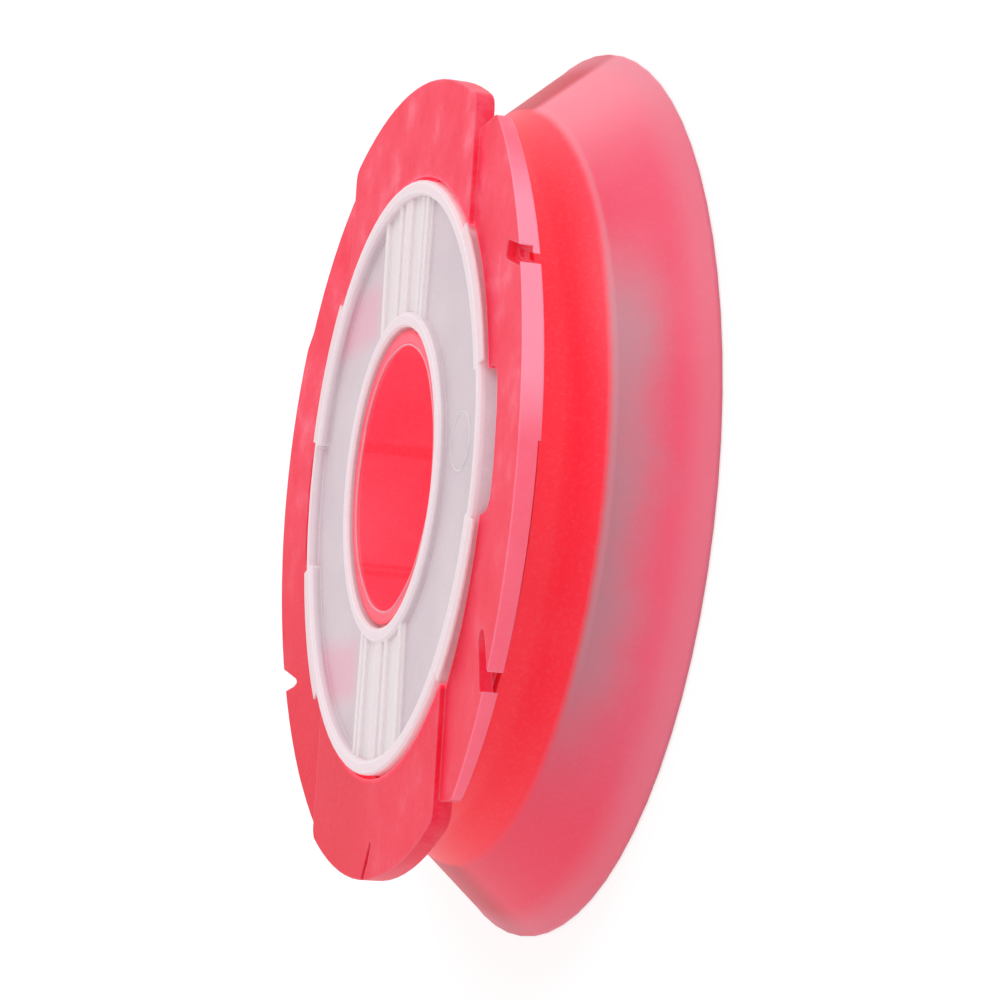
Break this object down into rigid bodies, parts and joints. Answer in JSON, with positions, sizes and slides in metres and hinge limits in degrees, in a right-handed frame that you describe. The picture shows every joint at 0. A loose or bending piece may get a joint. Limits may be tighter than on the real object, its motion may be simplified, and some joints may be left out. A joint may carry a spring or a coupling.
{
  "type": "fishing line spool",
  "caption": "Low round line spool with a flared rear flange, a front flange with two wings and line notches, and a milky ring that turns on the hub to lock.",
  "frame": {"origin": "on the spool's axis, in the plane that the back of the spool rests on", "axes": "+Z is the spool's axis and points out of the front face, +X points at the wing that is cut square at both ends, +Y runs along the band between the wings"},
  "size_m": [0.0666, 0.0666, 0.0132],
  "materials": {
    "body_pink": "satin",
    "flange_pink": "satin",
    "ring_milky": "satin"
  },
  "bodies": {
    "spool": {"spool_body": "body_pink", "front_flange": "flange_pink"},
    "ring": {"lock_ring": "ring_milky"}
  },
  "joints": [
    {"name": "ring_turn", "type": "hinge", "parent": "spool", "child": "ring", "pos_m": [0, 0, 0.0112], "axis": [0, 0, 1], "range_deg": [-33, 33]}
  ]
}
